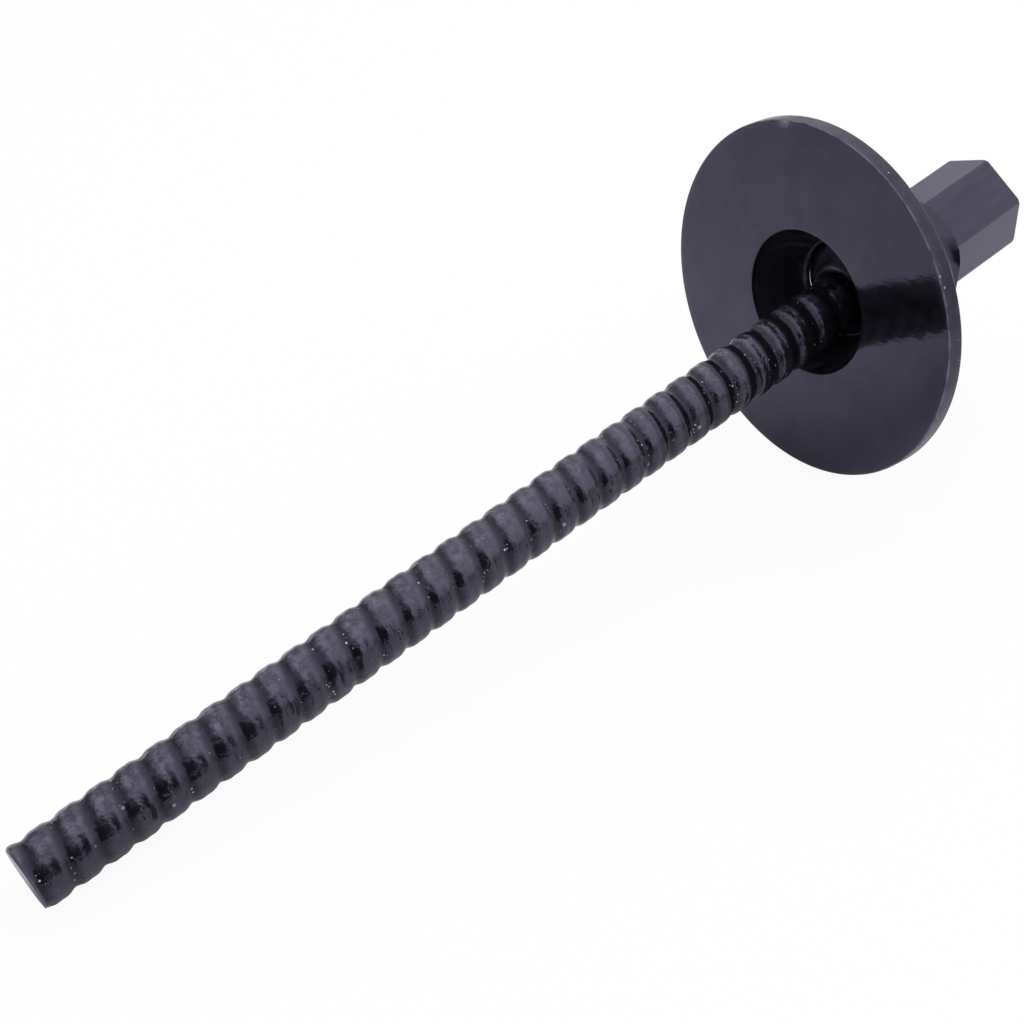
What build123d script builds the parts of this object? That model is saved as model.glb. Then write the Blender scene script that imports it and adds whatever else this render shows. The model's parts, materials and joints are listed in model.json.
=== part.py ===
from build123d import *
import math
import os

# Fiberglass rock bolt: a rope-threaded rod, a round bearing plate and a hexagonal nut with a ball face.
# Lengths are in millimetres and angles in degrees.
# The rod is drawn upright from its tip, and the bolt is laid down on its tip and the plate's rim at the end.

# Rod
rod_length = 400.0
thread_pitch = 10.0
thread_mean_radius = 10.25
thread_depth = 0.8
thread_start_angle = -43.0
rod_end_chamfer = 0.7

# Nut
nut_front_from_rod_end = 67.0
ball_radius = 27.7
ball_centre_to_front = 24.2
ball_band_length = 3.0
skirt_length = 14.5
skirt_end_radius = 17.6
hexagon_across_flats = 33.0
hexagon_length = 32.1
hexagon_corner_angle = 12.2
hexagon_end_chamfer = 0.5
bore_mouth_chamfer = 0.9
thread_clearance = 0.35

# Plate
plate_diameter = 127.4
plate_thickness = 6.2
plate_rim_rounding = 0.8
plate_tilt = 12.3
recess_mouth_diameter = 52.0
recess_depth = 17.5
recess_wall_bulge = 1.1
hole_diameter = 34.2
hole_length = 2.4
seat_clearance = 0.3
boss_height = 21.4
boss_root_diameter = 63.0
boss_top_wall = 2.6
boss_root_rounding = 3.0

# Laying down
settle_rounds = 4
full_turn = 360.0
half = 0.5
cut_margin = 1.0


def rope(mean_radius, start, end):
    """Left-hand rope thread: a round section carried along a thin helix, one face for each turn."""
    throw = thread_depth * half
    angle = math.radians(thread_start_angle - full_turn * start / thread_pitch)
    at_start = Vector(throw * math.cos(angle), throw * math.sin(angle), start)
    turns = []
    here = start
    while here < end:
        rise = min(thread_pitch, end - here)
        turn = Edge.make_helix(thread_pitch, rise, throw, lefthand=True)
        turn = turn.rotate(Axis.Z, math.degrees(angle) - full_turn * (here - start) / thread_pitch)
        turns.append(turn.translate(Vector(0, 0, here)))
        here += thread_pitch
    section = Wire.make_circle(mean_radius, Plane(at_start))
    return Solid.sweep(section, Wire(turns), mode=Vector(0, 0, 1))


def turned(outline):
    """Solid turned about the upright axis from an outline in the XZ plane."""
    return revolve(make_face(outline), Axis.Z)


# The rod, with both ends lightly chamfered.
crest_radius = thread_mean_radius + thread_depth * half
end_radius = crest_radius - rod_end_chamfer
rod_envelope = turned(
    Polyline(
        (0, 0, 0),
        (end_radius, 0, 0),
        (crest_radius + cut_margin, 0, rod_end_chamfer + cut_margin),
        (crest_radius + cut_margin, 0, rod_length - rod_end_chamfer - cut_margin),
        (end_radius, 0, rod_length),
        (0, 0, rod_length),
        close=True,
    )
)
rod = rope(thread_mean_radius, -thread_pitch, rod_length + thread_pitch) & rod_envelope

# The nut's turned body: blunt nose, ball face, and a skirt that narrows to the hexagon.
nut_front_from_tip = rod_length - nut_front_from_rod_end
ball_centre = nut_front_from_tip + ball_centre_to_front
nose_radius = math.sqrt(ball_radius**2 - ball_centre_to_front**2)
band_radius = math.sqrt(ball_radius**2 - ball_band_length**2)
skirt_end = ball_centre + ball_band_length + skirt_length
nut_end = skirt_end + hexagon_length
nut_body = turned(
    [
        Line((0, 0, nut_front_from_tip), (nose_radius, 0, nut_front_from_tip)),
        ThreePointArc(
            (nose_radius, 0, nut_front_from_tip),
            (ball_radius, 0, ball_centre),
            (band_radius, 0, ball_centre + ball_band_length),
        ),
        Polyline(
            (band_radius, 0, ball_centre + ball_band_length),
            (skirt_end_radius, 0, skirt_end),
            (0, 0, skirt_end),
            (0, 0, nut_front_from_tip),
        ),
    ]
)

# The hexagon runs down into the skirt, and its far corners are turned off.
corner_radius = hexagon_across_flats / math.sqrt(3)
hexagon_plane = Plane((0, 0, ball_centre))
hexagon = extrude(
    hexagon_plane * RegularPolygon(corner_radius, 6, rotation=hexagon_corner_angle),
    nut_end - ball_centre,
)
hexagon_envelope = turned(
    Polyline(
        (0, 0, ball_centre),
        (corner_radius + cut_margin, 0, ball_centre),
        (corner_radius + cut_margin, 0, nut_end - hexagon_end_chamfer - cut_margin),
        (corner_radius - hexagon_end_chamfer, 0, nut_end),
        (0, 0, nut_end),
        close=True,
    )
)
nut_form = nut_body + (hexagon & hexagon_envelope)


def mouth_cone(level, inwards):
    """Lead-in at one mouth of the nut's bore; inwards is 1 from the front and -1 from the back."""
    wall = crest_radius + thread_clearance
    deep = bore_mouth_chamfer + thread_depth
    return turned(
        Polyline(
            (0, 0, level - inwards * cut_margin),
            (wall + bore_mouth_chamfer + cut_margin, 0, level - inwards * cut_margin),
            (wall + bore_mouth_chamfer - deep, 0, level + inwards * deep),
            (0, 0, level + inwards * deep),
            close=True,
        )
    )


# The bore carries the rod's own thread, let out by the clearance.
bore = rope(
    thread_mean_radius + thread_clearance,
    nut_front_from_tip - thread_pitch,
    nut_end + thread_pitch,
)
nut = nut_form - bore
nut = nut - mouth_cone(nut_front_from_tip, 1) - mouth_cone(nut_end, -1)

# The plate is drawn about the ball's centre, with its bearing face towards the tip.
plate_radius = plate_diameter * half
mouth_radius = recess_mouth_diameter * half
hole_radius = hole_diameter * half
seat_radius = ball_radius + seat_clearance
seat_start = -math.sqrt(seat_radius**2 - hole_radius**2)
face_level = seat_start - hole_length - recess_depth
back_level = face_level + plate_thickness
boss_top = back_level + boss_height
seat_end_radius = math.sqrt(seat_radius**2 - boss_top**2)
seat_middle = (seat_start + boss_top) * half
seat_middle_radius = math.sqrt(seat_radius**2 - seat_middle**2)
boss_top_radius = seat_end_radius + boss_top_wall
wall_middle_radius = (mouth_radius + hole_radius) * half + recess_wall_bulge
wall_middle = face_level + recess_depth * half
hole_top = face_level + recess_depth
plate_face = make_face(
    [
        Polyline(
            (mouth_radius, 0, face_level),
            (plate_radius, 0, face_level),
            (plate_radius, 0, back_level),
            (boss_root_diameter * half, 0, back_level),
            (boss_top_radius, 0, boss_top),
            (seat_end_radius, 0, boss_top),
        ),
        ThreePointArc(
            (seat_end_radius, 0, boss_top),
            (seat_middle_radius, 0, seat_middle),
            (hole_radius, 0, seat_start),
        ),
        Line((hole_radius, 0, seat_start), (hole_radius, 0, hole_top)),
        ThreePointArc(
            (hole_radius, 0, hole_top),
            (wall_middle_radius, 0, wall_middle),
            (mouth_radius, 0, face_level),
        ),
    ]
)


def corners_at(face, radius, level):
    """Corners of a drawn face at one radius and level."""
    spot = Vector(radius, 0, level)
    return [corner for corner in face.vertices() if (Vector(*corner) - spot).length < cut_margin * half]


rim_corners = corners_at(plate_face, plate_radius, face_level) + corners_at(plate_face, plate_radius, back_level)
plate_face = fillet(rim_corners, plate_rim_rounding)
plate_face = fillet(corners_at(plate_face, boss_root_diameter * half, back_level), boss_root_rounding)
plate = revolve(plate_face, Axis.Z)

# The plate swivels on the ball: it leans until its lower rim comes forward under the rod.
plate = plate.rotate(Axis.Y, -plate_tilt).translate(Vector(0, 0, ball_centre))

# Laying down: the bolt turns about its tip until the tip and the plate's rim are level.


def lying(shape, slope):
    """A shape of the upright bolt, laid down with its rod rising at a slope towards the nut."""
    along = (math.cos(slope), 0, math.sin(slope))
    upwards = (-math.sin(slope), 0, math.cos(slope))
    return Plane((0, 0, 0), x_dir=upwards, z_dir=along).location * shape


slope = math.asin((plate_radius - crest_radius) / ball_centre)
for _ in range(settle_rounds):
    rod_low = lying(rod, slope).bounding_box().min.Z
    plate_low = lying(plate, slope).bounding_box().min.Z
    slope += (rod_low - plate_low) / ball_centre

pieces = {"threaded_rod": rod, "bearing_plate": plate, "ball_nut": nut}
laid = {name: lying(shape, slope) for name, shape in pieces.items()}
whole = Compound(children=[Compound([shape]) for shape in laid.values()]).bounding_box()
to_floor = Vector(-whole.center().X, -whole.center().Y, -whole.min.Z)

os.makedirs("parts", exist_ok=True)
for name, shape in laid.items():
    export_step(shape.translate(to_floor), "parts/" + name + ".step")
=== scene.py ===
import json
import math

import bmesh
import bpy
from bpy.props import FloatProperty, FloatVectorProperty, PointerProperty
from bpy.types import NodeSocket, Operator, Panel, PropertyGroup
from mathutils import Euler, Matrix, Vector


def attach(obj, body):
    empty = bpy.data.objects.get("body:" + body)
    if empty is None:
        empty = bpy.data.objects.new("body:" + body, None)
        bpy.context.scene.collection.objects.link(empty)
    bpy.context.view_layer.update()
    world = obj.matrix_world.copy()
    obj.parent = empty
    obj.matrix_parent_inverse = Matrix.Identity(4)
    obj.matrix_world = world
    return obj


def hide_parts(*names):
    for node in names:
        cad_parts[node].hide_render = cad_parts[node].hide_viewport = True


bl_info = {
    "name": "Fiberglass rock bolt",
    "version": (1, 0, 0),
    "blender": (4, 5, 0),
    "location": "3D View > Sidebar > Rock bolt",
    "description": "Builds a rope-threaded rod, its bearing plate and its ball nut on a pale floor",
    "category": "Add Mesh",
}

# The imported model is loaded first, so that places and sizes come from it.
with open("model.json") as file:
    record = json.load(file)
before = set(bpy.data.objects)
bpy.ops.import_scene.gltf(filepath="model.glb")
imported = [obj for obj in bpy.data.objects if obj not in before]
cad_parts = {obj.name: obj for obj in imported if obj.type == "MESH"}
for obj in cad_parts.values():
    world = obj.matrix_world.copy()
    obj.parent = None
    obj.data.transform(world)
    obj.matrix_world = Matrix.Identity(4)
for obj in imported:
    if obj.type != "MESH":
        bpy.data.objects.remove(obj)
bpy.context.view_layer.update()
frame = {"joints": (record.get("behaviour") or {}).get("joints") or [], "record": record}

# Lengths are in metres and angles in radians, unless a name says otherwise.
FULL_TURN = 2 * math.pi
SIXTH_TURN = math.pi / 3
JOINTS = {joint["name"]: joint for joint in frame["joints"]}
MOUNTS = {mount["name"]: mount for mount in frame["record"]["mounts"]}
ALONG = Vector(JOINTS["nut_turn"]["axis"]).normalized()
BALL = Vector(JOINTS["nut_turn"]["pos_m"])
PLATE_AXIS = -Vector(MOUNTS["bearing_face"]["axis"]).normalized()
BALL_FROM_TIP = 0.3572


def frame_along(axis, origin):
    """Matrix of a frame with Z on an axis and X turned upwards, as the parts are drawn."""
    z = axis.normalized()
    y = z.cross(Vector((0, 0, 1))).normalized()
    x = y.cross(z)
    return Matrix.Translation(origin) @ Matrix((x, y, z)).transposed().to_4x4()


ROD_FRAME = frame_along(ALONG, BALL - BALL_FROM_TIP * ALONG)
PLATE_FRAME = frame_along(PLATE_AXIS, BALL)
NUT_FRAME = frame_along(ALONG, BALL)


# ---- sizes and colours that a user would change

def length_field(name, description, default):
    """A length in metres."""
    return FloatProperty(name=name, description=description, default=default, unit="LENGTH")


def angle_field(name, description, degrees):
    """An angle, given here in degrees."""
    return FloatProperty(
        name=name, description=description, default=math.radians(degrees), subtype="ANGLE")


def level_field(name, description, default):
    """A plain number, such as a strength or a share."""
    return FloatProperty(name=name, description=description, default=default)


def vector_field(name, description, default, subtype):
    """Three numbers that belong together, such as a colour or a place."""
    return FloatVectorProperty(
        name=name, description=description, default=default, subtype=subtype, size=3)


def colour_field(name, description, default):
    """A colour without its alpha."""
    return vector_field(name, description, default, "COLOR")


class RodLook(PropertyGroup):
    """Sizes and colours of the threaded rod."""

    length: length_field("Length", "Length of the rod", 0.400)
    mean_radius: length_field("Mean radius", "Radius halfway between crest and groove", 0.01025)
    depth: length_field("Thread depth", "Height from groove to crest", 0.0008)
    pitch: length_field("Pitch", "Distance between two turns of the thread", 0.010)
    start_angle: angle_field("Start angle", "Where the crest begins at the tip", -43)
    crest_flatness: length_field(
        "Crest flatness", "How much the crests are broadened and the grooves narrowed", 0.00016)
    end_chamfer: length_field("End chamfer", "Chamfer of both ends", 0.0007)
    colour: colour_field("Colour", "Colour of the resin", (0.0058, 0.0054, 0.0072))
    # The dust colour also paints highlight on the rod's upper side.
    dust_and_highlight_colour: colour_field("Dust", "Colour of the paler patches of resin", (0.095, 0.089, 0.116))
    # The specks' pale colour is a painted glint on the rod's beads.
    glint_speck_colour: colour_field("Specks", "Colour of the fine pale specks", (0.42, 0.40, 0.47))


class PlateLook(PropertyGroup):
    """Sizes and colours of the bearing plate."""

    diameter: length_field("Diameter", "Diameter of the plate", 0.1274)
    thickness: length_field("Thickness", "Thickness of the rim", 0.0062)
    rim_rounding: length_field("Rim rounding", "Rounding of the rim's edges", 0.0007)
    mouth_diameter: length_field("Mouth", "Diameter of the recess at the face", 0.052)
    recess_depth: length_field("Recess depth", "Depth of the recess down to the hole", 0.0175)
    wall_bulge: length_field("Wall bulge", "How far the recess wall curves outwards", 0.0011)
    hole_diameter: length_field("Hole", "Diameter of the hole for the nut's nose", 0.0342)
    hole_length: length_field("Hole length", "Length of the hole", 0.0024)
    seat_radius: length_field("Seat radius", "Radius of the hollow seat behind the hole", 0.0280)
    boss_height: length_field("Boss height", "Height of the boss behind the plate", 0.0214)
    boss_root_diameter: length_field("Boss root", "Diameter of the boss at its root", 0.063)
    boss_top_wall: length_field("Boss wall", "Wall at the boss's top", 0.0026)
    nick_angle: angle_field("Nick", "Where the moulding nick sits on the rim", 349)
    colour: colour_field("Colour", "Colour of the moulded composite", (0.0050, 0.0047, 0.0062))
    recess_colour: colour_field("Recess colour", "Colour inside the recess", (0.012, 0.0135, 0.015))
    # The worn edges' colour is also the colour of the painted glints on the rim and its edges.
    wear_and_glint_colour: colour_field("Worn edge", "Colour where the edge is rubbed", (0.26, 0.248, 0.305))


class NutLook(PropertyGroup):
    """Sizes and colours of the ball nut."""

    front_from_ball: length_field("Front", "From the ball's centre to the nut's front", 0.0242)
    ball_radius: length_field("Ball radius", "Radius of the ball face", 0.0277)
    ball_band: length_field("Ball band", "How far the ball runs on behind its centre", 0.003)
    skirt_length: length_field("Skirt length", "Length of the narrowing skirt", 0.0145)
    skirt_end_radius: length_field("Skirt end", "Radius of the skirt at the hexagon", 0.0176)
    across_flats: length_field("Across flats", "Size of the hexagon", 0.033)
    hexagon_length: length_field("Hexagon length", "Length of the hexagon", 0.0321)
    corner_angle: angle_field("Corner angle", "Turn of the hexagon", 12.2)
    end_chamfer: length_field("End chamfer", "How far the far corners are turned off", 0.0005)
    edge_rounding: length_field("Edge rounding", "Rounding of the hexagon's edges", 0.00045)
    mouth_chamfer: length_field("Mouth chamfer", "Chamfer at both mouths of the bore", 0.0009)
    thread_clearance: length_field("Thread clearance", "Room between the rod and the bore", 0.00035)
    colour: colour_field("Colour", "Colour of the moulded composite", (0.0058, 0.0054, 0.0072))
    skirt_colour: colour_field(
        "Skirt colour", "Colour of the duller skirt behind the plate", (0.052, 0.050, 0.065))


class StageLook(PropertyGroup):
    """Camera, floor and light."""

    camera_place: vector_field(
        "Camera place", "Where the camera stands", (-0.277620, -0.387357, 0.363542), "XYZ")
    camera_turn: vector_field(
        "Camera turn", "How the camera is turned",
        (math.radians(55.19271444), math.radians(6.472375), math.radians(-37.90451283)), "EULER")
    lens: level_field("Lens", "Focal length for a 36 mm sensor", 62.4127)
    floor_size: length_field("Floor size", "Side of the floor", 8.0)
    floor_colour: colour_field("Floor colour", "Colour of the floor", (0.80, 0.80, 0.81))
    bright_side: vector_field(
        "Bright side", "Where the room is brightest", (0.70, -0.25, 0.67), "XYZ")
    bright_level: level_field("Bright level", "Strength of the room light on its bright side", 1.62)
    dim_level: level_field("Dim level", "Strength of the room light on its far side", 0.20)
    horizon_share: level_field(
        "Horizon share", "Share of the room light that is left at the horizon", 0.40)
    lamp_power: level_field("Lamp power", "Power of the lamp overhead", 4.6)
    card_radius: length_field("Card radius", "Radius of the black card by the camera", 0.54)
    card_drop: length_field("Card drop", "How far the card's centre is below the camera", 0.30)


# ---- mesh helpers

def link(data, name):
    """New object at the origin for a mesh, a lamp or a camera."""
    item = bpy.data.objects.new(name, data)
    bpy.context.scene.collection.objects.link(item)
    return item


def smooth(mesh, sharp_degrees):
    """Smooth shading, with sharp edges where faces meet at more than an angle."""
    mesh.update()
    mesh.polygons.foreach_set("use_smooth", [True] * len(mesh.polygons))
    mesh.set_sharp_from_angle(angle=math.radians(sharp_degrees))


def keep_values(mesh, attributes):
    """Keeps values on a mesh's points, for its material to read."""
    for label, values in attributes.items():
        mesh.attributes.new(label, "FLOAT", "POINT").data.foreach_set("value", values)


def shell(name, points, faces, attributes, place, material, sharp_degrees):
    """Object of a closed shell that is drawn in its own frame, with its faces turned outwards."""
    mesh = bpy.data.meshes.new(name)
    mesh.from_pydata(points, [], faces)
    keep_values(mesh, attributes)
    mesh.transform(place)
    work = bmesh.new()
    work.from_mesh(mesh)
    bmesh.ops.recalc_face_normals(work, faces=work.faces)
    work.to_mesh(mesh)
    work.free()
    mesh.materials.append(material)
    smooth(mesh, sharp_degrees)
    return link(mesh, name)


def ring_faces(low, high, count):
    """Quads between two rings of points, each ring given by the index of its first point."""
    following = [(k + 1) % count for k in range(count)]
    return [(low + k, low + after, high + after, high + k) for k, after in enumerate(following)]


def grid_faces(rings, count, first=0):
    """Quads between the neighbours in a stack of rings."""
    faces = []
    for ring in range(rings - 1):
        low = first + ring * count
        faces += ring_faces(low, low + count, count)
    return faces


def around(radius, turn, level=0.0):
    """Point at a distance and in a direction from the axis."""
    return (radius * math.cos(turn), radius * math.sin(turn), level)


def fade(distance, width):
    """Value that is 1 at no distance and falls off over a width."""
    return math.exp(-(distance / width) ** 2)


def soft_min(first, second, softness):
    """Smaller of two values, with the crossing rounded."""
    share = max(0.0, min(1.0, 0.5 + 0.5 * (second - first) / softness))
    return second + (first - second) * share - softness * share * (1 - share)


def steps(start, length, count):
    """Levels after a start, evenly spaced up to a length from it."""
    return [start + length * k / count for k in range(1, count + 1)]


# ---- node helpers

WHITE = (1.0, 1.0, 1.0)
SOCKET_KINDS = {float: "NodeSocketFloat", int: "NodeSocketInt", Vector: "NodeSocketVector"}
# Sockets of a Mix node set to colours, which share their names with its other sockets.
MIX_MASK, MIX_UNDER, MIX_OVER, MIX_RESULT = 0, 6, 7, 2


def put(tree, value, socket):
    """Feeds a socket from another one, or sets it to a value; a colour gets its alpha here."""
    if isinstance(value, NodeSocket):
        tree.links.new(value, socket)
    elif socket.type == "RGBA":
        socket.default_value = (*value, 1.0)
    else:
        socket.default_value = value


def add(tree, kind, inputs=None, **settings):
    """New node with its settings, and with its inputs fed or set."""
    node = tree.nodes.new(kind)
    for key, value in settings.items():
        setattr(node, key, value)
    for key, value in (inputs or {}).items():
        put(tree, value, node.inputs[key])
    return node


def new_group(name, kind, inputs, output, output_kind="NodeSocketFloat"):
    """Empty node group with one output; its inputs are named, and typed by their defaults."""
    tree = bpy.data.node_groups.new(name, kind)
    for label, default in inputs.items():
        socket = tree.interface.new_socket(
            name=label, in_out="INPUT", socket_type=SOCKET_KINDS[type(default)])
        socket.default_value = default
    tree.interface.new_socket(name=output, in_out="OUTPUT", socket_type=output_kind)
    return tree, add(tree, "NodeGroupInput").outputs, add(tree, "NodeGroupOutput").inputs[output]


def math_node(tree, operation, *values, clamp=False):
    """Output of a Math node."""
    settings = {"operation": operation, "use_clamp": clamp}
    return add(tree, "ShaderNodeMath", dict(enumerate(values)), **settings).outputs["Value"]


def vector_node(tree, operation, *values):
    """Vector Math node."""
    return add(tree, "ShaderNodeVectorMath", dict(enumerate(values)), operation=operation)


def noise_node(tree, vector, scale, detail):
    """Output of a Noise Texture."""
    inputs = {"Vector": vector, "Scale": scale, "Detail": detail}
    return add(tree, "ShaderNodeTexNoise", inputs).outputs["Fac"]


def map_range(tree, value, low, high, new_low=0.0, new_high=1.0, **settings):
    """Value moved from one range to another, and held inside it."""
    inputs = {
        "Value": value, "From Min": low, "From Max": high, "To Min": new_low, "To Max": new_high,
    }
    return add(tree, "ShaderNodeMapRange", inputs, **settings).outputs["Result"]


def mixed_shader(tree, share, first, second):
    """Shader between two others."""
    inputs = {"Fac": share, 1: first.outputs[0], 2: second.outputs[0]}
    return add(tree, "ShaderNodeMixShader", inputs).outputs["Shader"]


def node_material(name):
    """New material and its tree of nodes."""
    material = bpy.data.materials.new(name)
    material.use_nodes = True
    return material, material.node_tree


# ---- shader groups that the materials share

SPECK_SHARPNESS = 12.0
FINE_NOISE_SHARE = 0.35
MOTTLE_RANGE = (0.45, 0.90)
WEAR_THRESHOLD = 0.80
WEAR_SHARPNESS = 3.0


def speck_group(name):
    """Fine specks, painted as pale glints: scattered dots, of which a share is kept, each at a size
    of its own.
    """
    inputs = {"Vector": Vector(), "Scale": 900.0, "Size": 0.16, "Share": 0.2}
    tree, given, result = new_group(name, "ShaderNodeTree", inputs, "Mask")
    pattern = {"Vector": given["Vector"], "Scale": given["Scale"], "Randomness": 1.0}
    dots = add(tree, "ShaderNodeTexVoronoi", pattern, feature="F1")
    drawn = add(tree, "ShaderNodeSeparateColor", {"Color": dots.outputs["Color"]}).outputs
    chosen = math_node(tree, "LESS_THAN", drawn["Red"], given["Share"])
    size = math_node(tree, "MULTIPLY", given["Size"], drawn["Green"])
    inside = math_node(tree, "SUBTRACT", size, dots.outputs["Distance"])
    soft = math_node(tree, "MULTIPLY", inside, SPECK_SHARPNESS, clamp=True)
    put(tree, math_node(tree, "MULTIPLY", soft, chosen, clamp=True), result)
    return tree


def mottle_group(name):
    """Uneven gloss of moulded resin: two sizes of noise put together."""
    inputs = {"Vector": Vector(), "Broad": 40.0, "Fine": 700.0, "Low": 0.2, "High": 0.4}
    tree, given, result = new_group(name, "ShaderNodeTree", inputs, "Value")
    broad = noise_node(tree, given["Vector"], given["Broad"], detail=3.0)
    fine = noise_node(tree, given["Vector"], given["Fine"], detail=2.0)
    both = math_node(tree, "MULTIPLY_ADD", fine, FINE_NOISE_SHARE, broad)
    put(tree, map_range(tree, both, *MOTTLE_RANGE, given["Low"], given["High"]), result)
    return tree


def wear_group(name):
    """Rubbed edge: an edge's share on the surface, broken up by noise."""
    inputs = {"Edge": 0.0, "Vector": Vector(), "Scale": 300.0, "Amount": 0.5}
    tree, given, result = new_group(name, "ShaderNodeTree", inputs, "Mask")
    noise = noise_node(tree, given["Vector"], given["Scale"], detail=4.0)
    level = math_node(tree, "ADD", noise, given["Amount"])
    above = math_node(tree, "SUBTRACT", level, WEAR_THRESHOLD)
    sharp = math_node(tree, "MULTIPLY", above, WEAR_SHARPNESS, clamp=True)
    put(tree, math_node(tree, "MULTIPLY", sharp, given["Edge"], clamp=True), result)
    return tree


SHARED_GROUPS = {
    "Fine specks": speck_group,
    "Resin mottle": mottle_group,
    "Rubbed edge": wear_group,
}


# ---- materials

class Finish:
    """A material under construction: its tree, its shader and its pattern coordinates."""

    def __init__(self, name, place, ior, tint):
        self.material, self.tree = node_material(name)
        self.shader = self.tree.nodes["Principled BSDF"]
        self.feed("IOR", ior)
        self.feed("Specular Tint", tint)
        where = {
            "Vector": add(self.tree, "ShaderNodeTexCoord").outputs["Object"],
            "Location": place.to_translation(),
            "Rotation": place.to_euler(),
        }
        mapping = add(self.tree, "ShaderNodeMapping", where, vector_type="TEXTURE")
        self.own = mapping.outputs["Vector"]

    def feed(self, name, value):
        """Feeds one of the shader's sockets, or sets it."""
        put(self.tree, value, self.shader.inputs[name])

    def group(self, name, **values):
        """Output of a shared shader group with its own values here; its first use builds it."""
        tree = bpy.data.node_groups.get(name) or SHARED_GROUPS[name](name)
        inputs = {"Vector": self.own, **values}
        return add(self.tree, "ShaderNodeGroup", inputs, node_tree=tree).outputs[0]

    def attribute(self, name):
        """A value that the mesh keeps on its points."""
        settings = {"attribute_name": name, "attribute_type": "GEOMETRY"}
        return add(self.tree, "ShaderNodeAttribute", **settings).outputs["Fac"]

    def across(self, direction):
        """Distance along a direction of the piece."""
        return vector_node(self.tree, "DOT_PRODUCT", self.own, direction).outputs["Value"]

    def noise(self, scale, detail, vector=None):
        """Noise on the piece; three scales stretch it along the piece's own axes."""
        vector = vector or self.own
        if isinstance(scale, tuple):
            vector = vector_node(self.tree, "MULTIPLY", vector, scale).outputs["Vector"]
            scale = 1.0
        return noise_node(self.tree, vector, scale, detail)

    def ranged(self, value, *ends):
        """Value moved from one range to another, 0 to 1 unless it is given, and held inside it."""
        return map_range(self.tree, value, *ends)

    def lowered(self, mask, least=0.0):
        """1 where a mask is 0, down to a least value where it is 1."""
        return self.ranged(mask, 0.0, 1.0, 1.0, least)

    def folded(self, operation, first, *others):
        """One operation over several values, from the left."""
        for value in others:
            first = math_node(self.tree, operation, first, value)
        return first

    def times(self, *values):
        """Product of values."""
        return self.folded("MULTIPLY", *values)

    def plus(self, *values):
        """Sum of values."""
        return self.folded("ADD", *values)

    def most(self, *values):
        """Greatest of values."""
        return self.folded("MAXIMUM", *values)

    def raised(self, value, *layers):
        """Value with more added to it, each layer a mask and what it adds at its full strength."""
        for mask, more in layers:
            value = math_node(self.tree, "MULTIPLY_ADD", mask, more, value)
        return value

    def layered(self, colour, *layers):
        """Colour with others laid over it, each layer a mask and a colour."""
        for mask, over in layers:
            inputs = {MIX_MASK: mask, MIX_UNDER: colour, MIX_OVER: over}
            colour = add(self.tree, "ShaderNodeMix", inputs, data_type="RGBA").outputs[MIX_RESULT]
        return colour

    def bumps(self, *layers):
        """Relief, each layer a height, the distance that it stands for and its strength."""
        normal = None
        for height, distance, strength in layers:
            inputs = {"Height": height, "Distance": distance, "Strength": strength}
            if normal:
                inputs["Normal"] = normal
            normal = add(self.tree, "ShaderNodeBump", inputs).outputs["Normal"]
        self.feed("Normal", normal)


AXIS = (0.0, 0.0, 1.0)
COMPOSITE_TINT = (0.80, 0.77, 1.0)
PLATE_TINT = (0.75, 0.70, 1.0)
SHEEN_TINT = (0.50, 0.47, 0.95)
CLOUDY_RIM = (0.017, 0.016, 0.021)
RUBBED_CORNER = (0.045, 0.043, 0.054)
COMPOSITE_IOR = 1.60
PLATE_IOR = 1.66


def paler(colour, factor):
    """Colour made lighter by a factor."""
    return tuple(factor * share for share in colour)


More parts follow.
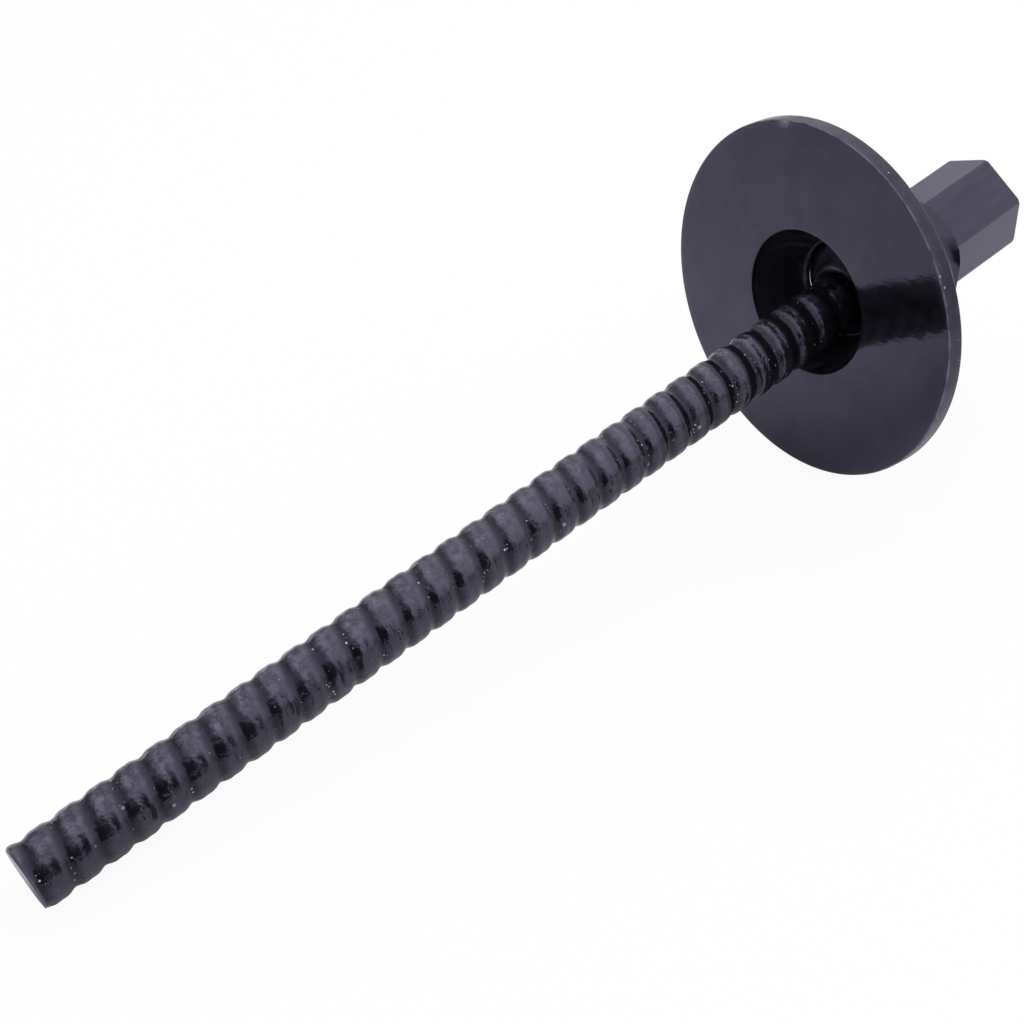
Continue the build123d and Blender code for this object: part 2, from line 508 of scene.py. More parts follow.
def rod_finish(look):
    """Resin-rich glass fibre: dark, glossy and lumpy, with a pale dusting and painted highlight on
    its upper side, and fine pale specks as painted glints.
    """
    finish = Finish("Rod composite", ROD_FRAME, COMPOSITE_IOR, COMPOSITE_TINT)
    crest, flank = finish.attribute("crest"), finish.attribute("flank")
    from_tip = finish.across(AXIS)
    height = finish.across((0.8, -0.6, 0.0))
    mottle = finish.group("Resin mottle", Broad=150.0, Fine=1300.0, Low=0.09, High=0.27)
    finish.feed("Roughness", mottle)

    # Pale beads, whose pale colour is a painted glint: clusters of small ones in the grooves, and
    # fainter stray ones of two sizes.
    clusters = finish.times(
        finish.group("Fine specks", Scale=900.0, Size=0.40, Share=0.50),
        finish.ranged(crest, -0.55, -0.85),
        finish.ranged(finish.noise(75.0, 2.0), 0.49, 0.58),
    )
    stray = finish.most(
        finish.group("Fine specks", Scale=1100.0, Size=0.28, Share=0.05),
        finish.group("Fine specks", Scale=260.0, Size=0.30, Share=0.06),
    )
    painted_glint_beads = finish.most(clusters, finish.times(stray, 0.5))

    # Dust and painted highlight on the crests' upper sides, in patches and crumbs: a pale colour
    # where the light falls from above. It thins out on the flanks that face the nut and towards the
    # plate. The sawn end at the tip is dusty all over.
    patches = finish.ranged(finish.noise(310.0, 6.0), 0.44, 0.68, 0.0, 0.80)
    crumbs = finish.ranged(finish.noise(1000.0, 3.0), 0.48, 0.70, 0.0, 0.55)
    nut_side = finish.times(
        finish.ranged(flank, 0.35, 0.85),
        finish.ranged(from_tip, 0.18, 0.28, 0.45, 0.92),
    )
    on_top = finish.times(
        finish.ranged(crest, -0.85, -0.1, 0.12, 1.0),
        finish.lowered(nut_side),
        finish.ranged(height, -0.0005, 0.0058, 0.05, 1.0),
        finish.ranged(from_tip, 0.08, 0.33, 1.0, 0.45),
    )
    dust_and_highlight = math_node(finish.tree, "MULTIPLY", finish.plus(patches, crumbs), on_top, clamp=True)
    sawn = finish.ranged(from_tip, 0.0009, 0.0005)
    dust_and_highlight_layer = (finish.most(dust_and_highlight, sawn), look.dust_and_highlight_colour)
    finish.feed("Base Color", finish.layered(look.colour, dust_and_highlight_layer, (painted_glint_beads, look.glint_speck_colour)))

    # Gloss, fullest on the crests. Wavy streaks by the dark ovals, the underside and the
    # flanks by the plate take some of it away, and the middle of the rod is the glossiest.
    wave = finish.raised(crest, (finish.noise(330.0, 2.0), 0.9))
    wavy = {"X": wave, "Y": flank, "Z": finish.across((0.0, 0.0, 90.0))}
    wavy = add(finish.tree, "ShaderNodeCombineXYZ", wavy).outputs["Vector"]
    by_ovals = finish.times(
        finish.ranged(height, 0.0, -0.0020),
        finish.ranged(height, -0.0082, -0.0060),
        finish.ranged(finish.noise(240.0, 2.0), 0.46, 0.56),
    )
    streaks = finish.ranged(finish.noise(1.9, 4.0, wavy), 0.54, 0.62, 0.0, 0.7)
    streaks = finish.times(streaks, by_ovals)
    under = finish.times(
        finish.ranged(height, -0.0010, -0.0040),
        finish.ranged(height, -0.0095, -0.0070, 0.4, 1.0),
    )
    by_plate = finish.times(
        finish.ranged(flank, 0.30, 0.62),
        finish.ranged(from_tip, 0.19, 0.31, 0.0, 0.75),
    )
    middle = finish.times(
        finish.ranged(from_tip, 0.06, 0.16, 1.0, 1.13),
        finish.ranged(from_tip, 0.22, 0.33, 1.0, 0.86),
    )
    finish.feed("Specular IOR Level", finish.times(
        finish.ranged(crest, -1.0, 0.2, 0.27, 0.60),
        finish.lowered(sawn, 0.15),
        finish.lowered(finish.plus(finish.raised(streaks, (under, 0.15)), by_plate)),
        middle,
    ))

    finish.bumps(
        (finish.noise(300.0, 2.0), 0.0010, finish.ranged(flank, 0.10, 0.65, 0.52, 0.16)),
        (finish.noise((2300.0, 2300.0, 200.0), 2.0), 0.00020, 0.22),
        (finish.noise(1100.0, 3.0), 0.00014, 0.30),
        (painted_glint_beads, 0.0002, 0.5),
    )
    return finish.material


def plate_finish(look):
    """Smooth moulded composite: glossy, faintly wavy and cloudy, and rubbed along its edges."""
    finish = Finish("Plate composite", PLATE_FRAME, PLATE_IOR, PLATE_TINT)
    edge, rim = finish.attribute("edge"), finish.attribute("rim")
    rubbed = finish.group("Rubbed edge", Edge=edge, Scale=190.0, Amount=0.55)
    mottle = finish.group("Resin mottle", Broad=30.0, Fine=900.0, Low=0.05, High=0.12)
    finish.feed("Roughness", finish.raised(mottle, (rubbed, 0.30), (rim, 0.18)))

    # Colour: a haze over all, clouds and painted pale glints on the rim, the recess, and the rubbed
    # edges.
    haze = finish.ranged(finish.noise((95.0, 26.0, 95.0), 4.0), 0.42, 0.70)
    clouds = finish.times(rim, finish.ranged(finish.noise(230.0, 4.0), 0.42, 0.66))
    outer = math_node(finish.tree, "MAXIMUM", rim, edge, clamp=True)
    glints = finish.times(outer, finish.group("Fine specks", Scale=560.0, Size=0.34, Share=0.10))
    finish.feed("Base Color", finish.layered(
        look.colour,
        (haze, paler(look.colour, 2.6)),
        (clouds, CLOUDY_RIM),
        (glints, look.wear_and_glint_colour),
        (finish.attribute("recess"), look.recess_colour),
        (rubbed, look.wear_and_glint_colour),
    ))

    # Gloss: it falls off across the plate, varies with film and smudges, and is lower on the rim.
    film = finish.ranged(finish.noise((26.0, 44.0, 60.0), 4.0), 0.35, 0.65, -0.052, 0.052)
    smudges = finish.ranged(finish.noise((60.0, 80.0, 70.0), 6.0), 0.50, 0.72, 0.0, -0.07)
    shine = finish.plus(film, smudges, 0.497, finish.across((-1.80, -0.90, 0.0)))
    finish.feed("Specular IOR Level", finish.times(shine, finish.lowered(rim, 0.60)))

    finish.bumps(
        (finish.noise(34.0, 2.0), 0.0008, 0.08),
        (finish.noise(190.0, 3.0), 0.00016, 0.30),
        (finish.noise((700.0, 160.0, 700.0), 3.0), 0.00008, 0.26),
    )
    return finish.material


def nut_finish(look):
    """Smooth moulded composite: satin, faintly streaked, with rubbed corners and a dull skirt."""
    finish = Finish("Nut composite", ROD_FRAME, COMPOSITE_IOR, COMPOSITE_TINT)
    skirt, ball = finish.attribute("skirt"), finish.attribute("ball")
    rubbed = finish.group("Rubbed edge", Edge=finish.attribute("edge"), Scale=300.0, Amount=0.30)
    mottle = finish.group("Resin mottle", Broad=70.0, Fine=1200.0, Low=0.10, High=0.22)
    finish.feed("Roughness", finish.raised(mottle, (rubbed, 0.25), (ball, 0.08), (skirt, 0.60)))
    finish.feed("Specular IOR Level", finish.ranged(skirt, 0.0, 1.0, 0.46, 0.0))

    # A faint sheen on the hexagon alone.
    finish.feed("Sheen Tint", SHEEN_TINT)
    finish.feed("Sheen Weight", finish.ranged(finish.most(skirt, ball), 0.0, 0.8, 0.11, 0.0))

    # Colour: a haze, the skirt with a soft dark patch of painted shade beside the hexagon, and the
    # rubbed corners.
    haze = finish.ranged(finish.noise((260.0, 260.0, 60.0), 4.0), 0.42, 0.70)
    sideways = finish.across((-0.5, 0.86, 0.0))
    # Painted shade: the body's darker colour laid over the skirt, beside the hexagon.
    painted_shade_patch = finish.times(
        finish.ranged(sideways, 0.0090, 0.0145),
        finish.ranged(sideways, 0.0184, 0.0170),
        finish.ranged(finish.across(AXIS), 0.3615, 0.3675),
    )
    finish.feed("Base Color", finish.layered(
        look.colour,
        (haze, paler(look.colour, 2.8)),
        (skirt, finish.layered(look.skirt_colour, (painted_shade_patch, look.colour))),
        (rubbed, RUBBED_CORNER),
    ))

    finish.bumps(
        (finish.noise((420.0, 420.0, 60.0), 3.0), 0.0003, 0.12),
        (finish.noise(900.0, 3.0), 0.00008, 0.18),
    )
    return finish.material


# ---- the rope thread, as a geometry node tree

# Inputs of the tree and their defaults.
ROPE_INPUTS = {
    "Length": 0.4, "Mean Radius": 0.01025, "Throw": 0.0004, "Flatness": 0.00013, "Pitch": 0.01,
    "Start Angle": 0.0, "Chamfer": 0.0007, "Round": 72, "Rings": 900,
}


def rope_tree(material):
    """Tree that turns a plain tube into a rope-threaded one, with every size as an input."""
    tree, size, result = new_group(
        "Rope thread", "GeometryNodeTree", ROPE_INPUTS, "Geometry", "NodeSocketGeometry")

    def calc(operation, *values):
        return math_node(tree, operation, *values)

    # A tube of radius 1, and where its points are: along it, around it and out from its axis.
    sides = {
        "Vertices": size["Round"], "Side Segments": size["Rings"],
        "Depth": size["Length"], "Radius": 1.0,
    }
    tube = add(tree, "GeometryNodeMeshCylinder", sides, fill_type="TRIANGLE_FAN")
    place = add(tree, "GeometryNodeInputPosition").outputs["Position"]
    place = add(tree, "ShaderNodeSeparateXYZ", {"Vector": place}).outputs
    level = calc("ADD", place["Z"], calc("MULTIPLY", size["Length"], 0.5))
    angle = calc("ARCTAN2", place["Y"], place["X"])
    flat = add(tree, "ShaderNodeCombineXYZ", {"X": place["X"], "Y": place["Y"]}).outputs["Vector"]
    reach = vector_node(tree, "LENGTH", flat).outputs["Value"]

    # The thread: its crest winds round the tube left-handed, a little broader than its groove.
    turned = calc("MULTIPLY", calc("DIVIDE", level, size["Pitch"]), FULL_TURN)
    phase = calc("ADD", calc("SUBTRACT", angle, size["Start Angle"]), turned)
    crest = calc("COSINE", phase)
    flanks = calc("SUBTRACT", 1.0, calc("COSINE", calc("MULTIPLY", phase, 2.0)))
    radius = calc("MULTIPLY_ADD", crest, size["Throw"], size["Mean Radius"])
    radius = calc("MULTIPLY_ADD", flanks, size["Flatness"], radius)

    # The chamfer of both ends cuts the thread off.
    top = calc("ADD", size["Mean Radius"], size["Throw"])
    to_end = calc("MINIMUM", level, calc("SUBTRACT", size["Length"], level))
    cut = calc("ADD", calc("SUBTRACT", top, size["Chamfer"]), to_end)
    radius = calc("MULTIPLY", calc("MINIMUM", radius, cut), reach)

    geometry = tube.outputs["Mesh"]
    for label, value in (("crest", crest), ("flank", calc("SINE", phase))):
        kept = {"Geometry": geometry, "Name": label, "Value": value}
        kept = add(tree, "GeometryNodeStoreNamedAttribute", kept, data_type="FLOAT", domain="POINT")
        geometry = kept.outputs["Geometry"]
    spot = {
        "X": calc("MULTIPLY", calc("COSINE", angle), radius),
        "Y": calc("MULTIPLY", calc("SINE", angle), radius),
        "Z": level,
    }
    spot = add(tree, "ShaderNodeCombineXYZ", spot).outputs["Vector"]
    for kind, inputs in (
        ("GeometryNodeSetPosition", {"Position": spot}),
        ("GeometryNodeRealizeInstances", {}),
        ("GeometryNodeSetMaterial", {"Material": material}),
    ):
        geometry = add(tree, kind, {"Geometry": geometry, **inputs}).outputs["Geometry"]
    put(tree, geometry, result)
    return tree


def rope_mesh(name, material, values):
    """Plain mesh of the rope thread, from the tree with its inputs set."""
    holder = link(bpy.data.meshes.new(name + " start"), name + "_start")
    modifier = holder.modifiers.new("Rope thread", "NODES")
    modifier.node_group = rope_tree(material)
    for item in modifier.node_group.interface.items_tree:
        if item.in_out == "INPUT":
            modifier[item.identifier] = values[item.name]
    graph = bpy.context.evaluated_depsgraph_get()
    graph.update()
    mesh = bpy.data.meshes.new_from_object(holder.evaluated_get(graph))
    bpy.data.objects.remove(holder)
    mesh.name = name
    return mesh


# ---- the threaded rod

ROD_POINTS_AROUND = 84
ROD_RINGS = 1120
ROD_SHARP_DEGREES = 40


class ROCKBOLT_OT_rod(Operator):
    """Builds the threaded rod"""

    bl_idname = "rockbolt.rod"
    bl_label = "Threaded rod"

    def execute(self, context):
        look = context.scene.rockbolt_rod
        mesh = rope_mesh("threaded_rod_body", rod_finish(look), {
            "Length": look.length, "Mean Radius": look.mean_radius, "Throw": look.depth / 2,
            "Flatness": look.crest_flatness, "Pitch": look.pitch, "Start Angle": look.start_angle,
            "Chamfer": look.end_chamfer, "Round": ROD_POINTS_AROUND, "Rings": ROD_RINGS,
        })
        mesh.transform(ROD_FRAME)
        smooth(mesh, ROD_SHARP_DEGREES)
        item = link(mesh, "threaded_rod_body")
        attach(item, "rod")
        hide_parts("threaded_rod")
        return {"FINISHED"}


# ---- the bearing plate

PLATE_POINTS_AROUND = 420
PLATE_POINT_SPACING = 0.0022
PLATE_SHARP_DEGREES = 50
ROUNDING_STEPS = 6
WALL_STEPS = 24
SEAT_POINTS = 40
MOUTH_ROUNDING = 0.0005
BOSS_ROOT_ROUNDING = 0.003
BOSS_TOP_ROUNDING = 0.0006
SEAT_ROUNDING = 0.0003
HOLE_ROUNDING = 0.0004
# The rim's and the recess's finish start this far in from the rim and the mouth.
RIM_MARGIN = 0.0002
MOUTH_MARGIN = 0.0004
HOLE_MARGIN = 0.0005
# Worn edges, each with its width and its strength.
FACE_EDGE_WEAR = (0.00042, 1.0)
BACK_EDGE_WEAR = (0.00032, 0.6)
HOLE_EDGE_WEAR = (0.00035, 0.9)
# The moulding nick on the rim's front edge.
NICK_STRENGTH = 2.2
NICK_LENGTH = 0.0019
NICK_WIDTH = 0.0004
NICK_FROM_RIM = 0.0007
NICK_DEPTH = 0.001


def rounded(corners):
    """Closed outline with its corners rounded; each corner is a spot and the radius it gets."""
    outline = []
    for index, (spot, radius) in enumerate(corners):
        here = Vector(spot)
        if not radius:
            outline.append(tuple(here))
            continue
        before = (Vector(corners[index - 1][0]) - here).normalized()
        after = (Vector(corners[(index + 1) % len(corners)][0]) - here).normalized()
        opening = before.angle(after)
        reach = radius / math.tan(opening / 2)
        centre = here + (before + after).normalized() * (radius / math.sin(opening / 2))
        first, last = here + before * reach, here + after * reach
        for step in range(ROUNDING_STEPS + 1):
            share = step / ROUNDING_STEPS
            spoke = (first - centre).lerp(last - centre, share).normalized() * radius
            outline.append(tuple(centre + spoke))
    return outline


def plate_outline(look):
    """Outline of the plate about the ball's centre, and the levels of its face and its back."""
    rim, mouth, hole = look.diameter / 2, look.mouth_diameter / 2, look.hole_diameter / 2
    seat_start = -math.sqrt(look.seat_radius ** 2 - hole ** 2)
    face = seat_start - look.hole_length - look.recess_depth
    back = face + look.thickness
    top = back + look.boss_height
    seat_end = math.sqrt(look.seat_radius ** 2 - top ** 2)
    first, last = math.atan2(top, seat_end), math.atan2(seat_start, hole)
    seat_turns = [first + (last - first) * k / (SEAT_POINTS - 1) for k in range(SEAT_POINTS)]
    seat = [(around(look.seat_radius, turn)[:2], 0.0) for turn in seat_turns]
    seat[0], seat[-1] = (seat[0][0], SEAT_ROUNDING), (seat[-1][0], SEAT_ROUNDING)

    # The recess's wall bulges outwards between the hole and the mouth.
    wall_start, wall_end = Vector((hole, face + look.recess_depth)), Vector((mouth, face))
    middle = Vector(((mouth + hole) / 2 + look.wall_bulge, face + look.recess_depth / 2))
    bulge = middle - wall_start.lerp(wall_end, 0.5)
    wall = []
    for step in range(1, WALL_STEPS):
        share = step / WALL_STEPS
        push = bulge * (4 * share * (1 - share))
        wall.append((wall_start.lerp(wall_end, share) + push, 0.0))
    corners = [
        ((mouth, face), MOUTH_ROUNDING),
        ((rim, face), look.rim_rounding),
        ((rim, back), look.rim_rounding),
        ((look.boss_root_diameter / 2, back), BOSS_ROOT_ROUNDING),
        ((seat_end + look.boss_top_wall, top), BOSS_TOP_ROUNDING),
        *seat,
        (wall_start, HOLE_ROUNDING),
        *wall,
    ]
    return rounded(corners), face, back


def spread(outline, spacing):
    """Closed outline with its long runs divided, so that bumps and wear have points to sit on."""
    result = []
    for index, corner in enumerate(outline):
        here, following = Vector(corner), Vector(outline[(index + 1) % len(outline)])
        pieces = max(1, int((following - here).length / spacing))
        result += [tuple(here.lerp(following, k / pieces)) for k in range(pieces)]
    return result


class ROCKBOLT_OT_plate(Operator):
    """Builds the bearing plate"""

    bl_idname = "rockbolt.plate"
    bl_label = "Bearing plate"

    def execute(self, context):
        look = context.scene.rockbolt_plate
        outline, face, back = plate_outline(look)
        outline = spread(outline, PLATE_POINT_SPACING)
        rim, mouth, hole = look.diameter / 2, look.mouth_diameter / 2, look.hole_diameter / 2
        hole_start = face + look.recess_depth
        worn_edges = (
            ((rim, face), FACE_EDGE_WEAR),
            ((rim, back), BACK_EDGE_WEAR),
            ((hole, hole_start), HOLE_EDGE_WEAR),
        )
        points, edges, rims, recesses = [], [], [], []
        for radius, level in outline:
            wear = sum(
                strength * fade(math.dist((radius, level), spot), width)
                for spot, (width, strength) in worn_edges
            )
            nick = NICK_STRENGTH * fade(rim - NICK_FROM_RIM - radius, NICK_WIDTH)
            nick = nick if level < face + NICK_DEPTH else 0.0
            in_recess = radius < mouth - MOUTH_MARGIN and level < hole_start + HOLE_MARGIN
            for column in range(PLATE_POINTS_AROUND):
                turn = FULL_TURN * column / PLATE_POINTS_AROUND
                points.append(around(radius, turn, level))
                edges.append(wear + nick * fade((turn - look.nick_angle) * rim, NICK_LENGTH))
            rims += [float(radius > rim - RIM_MARGIN)] * PLATE_POINTS_AROUND
            recesses += [float(in_recess)] * PLATE_POINTS_AROUND
        faces = grid_faces(len(outline), PLATE_POINTS_AROUND)
        faces += ring_faces(len(points) - PLATE_POINTS_AROUND, 0, PLATE_POINTS_AROUND)
        values = {"edge": edges, "rim": rims, "recess": recesses}
        item = shell(
            "bearing_plate_body", points, faces, values,
            PLATE_FRAME, plate_finish(look), PLATE_SHARP_DEGREES)
        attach(item, "plate")
        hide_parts("bearing_plate")
        return {"FINISHED"}


# ---- the ball nut

SIDE_POINTS = 44
BALL_STEPS = 70
SKIRT_STEPS = 60
RUN_OUT_STEPS = 6
HEXAGON_STEPS = 12
END_STEPS = 22
BORE_STEPS = 180
NUT_SHARP_DEGREES = 32
# The far end's band of finer steps, and the skirt's steep run-out into the hexagon.
END_BAND = 0.0035
RUN_OUT_LENGTH = 0.0006
RUN_OUT_LIMIT = 0.00065
RUN_OUT_SLOPE = 4.0
# How softly the corners, the end's chamfer and the skirt meet the hexagon's sides.
CORNER_SHARE = 0.35
CHAMFER_SOFTNESS = 0.0003
SKIRT_SOFTNESS = 0.0006
# The finish at the worn corners and the worn end, on the skirt and in the bore's mouth.
CORNER_WEAR_WIDTH = 0.0006
END_WEAR = 0.6
SKIRT_MARGIN = 0.0003
MOUTH_DULLNESS = 0.35
MOUTH_BAND = 0.0035


def nut_ends(look):
    """Levels of the nut's front, its skirt's end and its far end, from the ball's centre."""
    skirt_end = look.ball_band + look.skirt_length
    return -look.front_from_ball, skirt_end, skirt_end + look.hexagon_length


def nut_turns(look):
    """Directions: each side of the hexagon has the same spread, closer together at its corners."""
    shares = [0.5 - 0.5 * math.cos(math.pi * k / SIDE_POINTS) for k in range(SIDE_POINTS)]
    return [
        look.corner_angle + SIXTH_TURN * (side + share) for side in range(6) for share in shares
    ]


def body_radius(look, level):
    """Radius of the turned body: nose, ball, and the skirt, which runs out in the hexagon."""
    _, skirt_end, _ = nut_ends(look)
    if level <= look.ball_band:
        nose_square = look.ball_radius ** 2 - look.front_from_ball ** 2
        return math.sqrt(max(nose_square, look.ball_radius ** 2 - level ** 2))
    if level <= skirt_end:
        band = math.sqrt(look.ball_radius ** 2 - look.ball_band ** 2)
        return band + (look.skirt_end_radius - band) * (level - look.ball_band) / look.skirt_length
    past = level - skirt_end
    return look.skirt_end_radius - RUN_OUT_SLOPE * past if past < RUN_OUT_LIMIT else 0.0


def hexagon_reach(look, turn):
    """Distance from the axis to the hexagon's side in one direction."""
    off = (turn - look.corner_angle) % SIXTH_TURN - SIXTH_TURN / 2
    return look.across_flats / 2 / math.cos(off)


def nut_outside(look, turns):
    """Points of the nut's outside, ring by ring, with their shares of edge, skirt and ball."""
    front, skirt_end, far = nut_ends(look)
    quarters = [math.pi / 2 * k / BALL_STEPS for k in range(BALL_STEPS + 1)]
    levels = [front + (look.ball_band - front) * (1 - math.cos(quarter)) for quarter in quarters]
    levels += steps(look.ball_band, look.skirt_length, SKIRT_STEPS)
    levels += steps(skirt_end, RUN_OUT_LENGTH, RUN_OUT_STEPS)
    levels += steps(skirt_end, look.hexagon_length - END_BAND, HEXAGON_STEPS)
    levels += steps(far - END_BAND, END_BAND, END_STEPS)
    corner = look.across_flats / math.sqrt(3)
    blunt = corner - look.edge_rounding * CORNER_SHARE
    points = []
    for level in levels:
        body, on_ball = body_radius(look, level), level <= look.ball_band
        cap = corner - look.end_chamfer + (far - level)
        end_wear = END_WEAR * fade(far - level, CORNER_WEAR_WIDTH)
        for turn in turns:
            sides = soft_min(hexagon_reach(look, turn), blunt, look.edge_rounding)
            reach = soft_min(sides, cap, CHAMFER_SOFTNESS)
            if on_ball:
                reach = body
            elif body:
                reach = -soft_min(-body, -reach, SKIRT_SOFTNESS)
            on_corner = not on_ball and sides > body
            corner_wear = fade(corner - sides, CORNER_WEAR_WIDTH) if on_corner else 0.0
            on_skirt = not on_ball and sides < body + SKIRT_MARGIN
            wear = max(corner_wear, end_wear)
            points.append((around(reach, turn, level), wear, float(on_skirt), float(on_ball)))
    return points


def nut_bore(look, rod, turns):
    """Points of the nut's threaded bore, in rings and with values as its outside has them."""
    front, _, far = nut_ends(look)
    mean, throw = rod.mean_radius + look.thread_clearance, rod.depth / 2
    mouth = mean + throw + look.mouth_chamfer
    points = []
    for level in [front, *steps(front, far - front, BORE_STEPS)]:
        cone = mouth - min(level - front, far - level)
        dull = MOUTH_DULLNESS if level - front < MOUTH_BAND else 0.0
        for turn in turns:
            phase = turn - rod.start_angle + FULL_TURN * (level + BALL_FROM_TIP) / rod.pitch
            radius = max(mean + throw * math.cos(phase), cone)
            points.append((around(radius, turn, level), 0.0, dull, 0.0))
    return points


class ROCKBOLT_OT_nut(Operator):
    """Builds the ball nut"""

    bl_idname = "rockbolt.nut"
    bl_label = "Ball nut"

    def execute(self, context):
        look = context.scene.rockbolt_nut
        turns = nut_turns(look)
        outside, bore = nut_outside(look, turns), nut_bore(look, context.scene.rockbolt_rod, turns)
        count, first_bore, total = len(turns), len(outside), len(outside) + len(bore)
        faces = grid_faces(first_bore // count, count)
        faces += grid_faces(len(bore) // count, count, first_bore)
        faces += ring_faces(0, first_bore, count)
        faces += ring_faces(first_bore - count, total - count, count)
        points, edges, skirts, balls = zip(*outside, *bore)
        values = {"edge": edges, "skirt": skirts, "ball": balls}
        item = shell(
            "ball_nut_body", points, faces, values,
            NUT_FRAME, nut_finish(look), NUT_SHARP_DEGREES)
        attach(item, "nut")
        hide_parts("ball_nut")
        return {"FINISHED"}


# ---- the stage

SENSOR_WIDTH = 36.0
CLIP_RANGE = (0.01, 50.0)
ROOM_COLOUR = (0.92, 0.905, 1.0)
BRIGHT_RANGE = (-0.5, 1.0)
HORIZON_RANGE = (-0.05, 0.36)
LAMP_PLACE = Vector((0.35, 0.1, 1.3))
LAMP_TARGET = Vector((0.05, 0.0, 0.0))
LAMP_SIZE = 1.0
FLOOR_ROUGHNESS = 0.6
FLOOR_GLOW = 0.93
# The card's rings: their share of its radius and how dark it is there.
CARD_RINGS = ((0.62, 1.0), (0.80, 0.6), (1.0, 0.0))
CARD_POINTS_AROUND = 64
CARD_BEHIND = 0.02
CARD_COLOUR = (0.01, 0.01, 0.01)


def pale_floor(look):
    """Floor that the camera sees nearly white, and that is plain to everything else."""
    half = look.floor_size / 2
    corners = [(-half, -half, 0), (half, -half, 0), (half, half, 0), (-half, half, 0)]
    mesh = bpy.data.meshes.new("Floor")
    mesh.from_pydata(corners, [], [(0, 1, 2, 3)])
    material, tree = node_material("Pale floor")
    plain = tree.nodes["Principled BSDF"]
    put(tree, look.floor_colour, plain.inputs["Base Color"])
    put(tree, FLOOR_ROUGHNESS, plain.inputs["Roughness"])
    by_camera = add(tree, "ShaderNodeLightPath").outputs["Is Camera Ray"]
    glow = add(tree, "ShaderNodeEmission", {"Color": WHITE})
    surface = mixed_shader(tree, math_node(tree, "MULTIPLY", by_camera, FLOOR_GLOW), plain, glow)
    put(tree, surface, tree.nodes["Material Output"].inputs["Surface"])
    mesh.materials.append(material)
    return link(mesh, "Floor")


def room(look):
    """World that lights the object from a bright side and above, and that the camera sees white."""
    world = bpy.data.worlds.new("Room")
    world.use_nodes = True
    tree = world.node_tree
    tree.nodes.clear()
    direction = add(tree, "ShaderNodeTexCoord").outputs["Generated"]
    bright_side = Vector(look.bright_side).normalized()
    towards = vector_node(tree, "DOT_PRODUCT", direction, bright_side).outputs["Value"]
    up = add(tree, "ShaderNodeSeparateXYZ", {"Vector": direction}).outputs["Z"]
    soft = {"interpolation_type": "SMOOTHSTEP"}
    by_side = map_range(tree, towards, *BRIGHT_RANGE, look.dim_level, look.bright_level, **soft)
    by_height = map_range(tree, up, *HORIZON_RANGE, look.horizon_share, 1.0, **soft)
    strength = math_node(tree, "MULTIPLY", by_side, by_height)
    light = add(tree, "ShaderNodeBackground", {"Color": ROOM_COLOUR, "Strength": strength})
    seen = add(tree, "ShaderNodeBackground", {"Color": WHITE})
    by_camera = add(tree, "ShaderNodeLightPath").outputs["Is Camera Ray"]
    add(tree, "ShaderNodeOutputWorld", {"Surface": mixed_shader(tree, by_camera, light, seen)})
    return world


def dark_card(look):
    """Round black card by the camera, soft at its edge and seen only in reflections."""
    turns = [FULL_TURN * k / CARD_POINTS_AROUND for k in range(CARD_POINTS_AROUND)]
    points, depths = [(0, 0, 0)], [1.0]
    for share, depth in CARD_RINGS:
        points += [around(share * look.card_radius, turn) for turn in turns]
        depths += [depth] * CARD_POINTS_AROUND
    faces = [(0, 1 + k, 1 + (k + 1) % CARD_POINTS_AROUND) for k in range(CARD_POINTS_AROUND)]
    faces += grid_faces(len(CARD_RINGS), CARD_POINTS_AROUND, 1)
    mesh = bpy.data.meshes.new("Black card")
    mesh.from_pydata(points, [], faces)
    keep_values(mesh, {"depth": depths})
    camera_turn = Euler(look.camera_turn, "XYZ")
    camera_frame = Matrix.LocRotScale(Vector(look.camera_place), camera_turn, None)
    mesh.transform(camera_frame @ Matrix.Translation((0.0, -look.card_drop, CARD_BEHIND)))
    material, tree = node_material("Black card")
    tree.nodes.clear()
    depth = add(tree, "ShaderNodeAttribute", attribute_name="depth").outputs["Fac"]
    clear = add(tree, "ShaderNodeBsdfTransparent")
    black = add(tree, "ShaderNodeBsdfDiffuse", {"Color": CARD_COLOUR})
    add(tree, "ShaderNodeOutputMaterial", {"Surface": mixed_shader(tree, depth, clear, black)})
    mesh.materials.append(material)
    card = link(mesh, "Black card")
    for ray in ("camera", "diffuse", "shadow", "transmission", "volume_scatter"):
        setattr(card, "visible_" + ray, False)
    return card


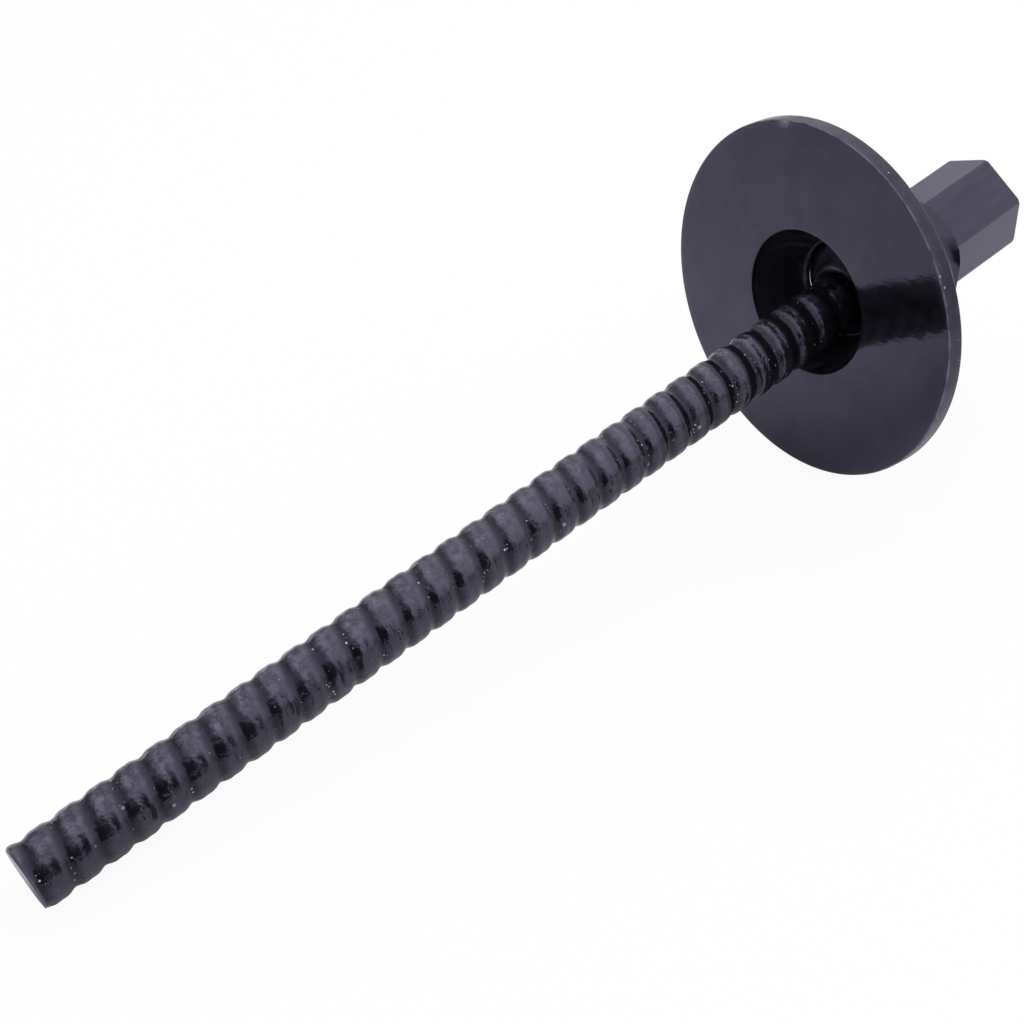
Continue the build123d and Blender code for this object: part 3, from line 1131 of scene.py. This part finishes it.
class ROCKBOLT_OT_stage(Operator):
    """Builds the camera, the floor and the light"""

    bl_idname = "rockbolt.stage"
    bl_label = "Stage"

    def execute(self, context):
        scene = context.scene
        look = scene.rockbolt_stage
        data = bpy.data.cameras.new("Camera")
        data.sensor_width = SENSOR_WIDTH
        data.lens = look.lens
        data.clip_start, data.clip_end = CLIP_RANGE
        camera = link(data, "Camera")
        camera.location = look.camera_place
        camera.rotation_euler = Euler(look.camera_turn, "XYZ")
        scene.camera = camera
        scene.view_settings.view_transform = "Standard"

        floor = pale_floor(look)
        scene.world = room(look)
        data = bpy.data.lights.new("Overhead softbox", "AREA")
        data.shape, data.size, data.energy = "SQUARE", LAMP_SIZE, look.lamp_power
        lamp = link(data, "Overhead softbox")
        lamp.location = LAMP_PLACE
        lamp.rotation_euler = (LAMP_TARGET - LAMP_PLACE).to_track_quat("-Z", "Y").to_euler()
        lamp.visible_glossy = False
        card = dark_card(look)
        return {"FINISHED"}


# ---- the panel and the registration

SECTIONS = {
    "rockbolt_stage": (StageLook, ROCKBOLT_OT_stage),
    "rockbolt_rod": (RodLook, ROCKBOLT_OT_rod),
    "rockbolt_plate": (PlateLook, ROCKBOLT_OT_plate),
    "rockbolt_nut": (NutLook, ROCKBOLT_OT_nut),
}


class ROCKBOLT_PT_panel(Panel):
    """Lists the bolt's pieces and their sizes"""

    bl_idname = "ROCKBOLT_PT_panel"
    bl_label = "Rock bolt"
    bl_space_type = "VIEW_3D"
    bl_region_type = "UI"
    bl_category = "Rock bolt"

    def draw(self, context):
        for name, (settings, operator) in SECTIONS.items():
            section = self.layout.box()
            section.operator(operator.bl_idname)
            for key in settings.__annotations__:
                section.prop(getattr(context.scene, name), key)


def register():
    """Registers the settings, the operators and the panel."""
    for name, (settings, operator) in SECTIONS.items():
        bpy.utils.register_class(settings)
        bpy.utils.register_class(operator)
        setattr(bpy.types.Scene, name, PointerProperty(type=settings))
    bpy.utils.register_class(ROCKBOLT_PT_panel)


def unregister():
    """Takes everything out again."""
    bpy.utils.unregister_class(ROCKBOLT_PT_panel)
    for name, (settings, operator) in SECTIONS.items():
        delattr(bpy.types.Scene, name)
        bpy.utils.unregister_class(operator)
        bpy.utils.unregister_class(settings)


def main():
    """Builds the stage and every piece."""
    register()
    bpy.ops.rockbolt.stage()
    bpy.ops.rockbolt.rod()
    bpy.ops.rockbolt.plate()
    bpy.ops.rockbolt.nut()


if __name__ == "__main__":
    main()
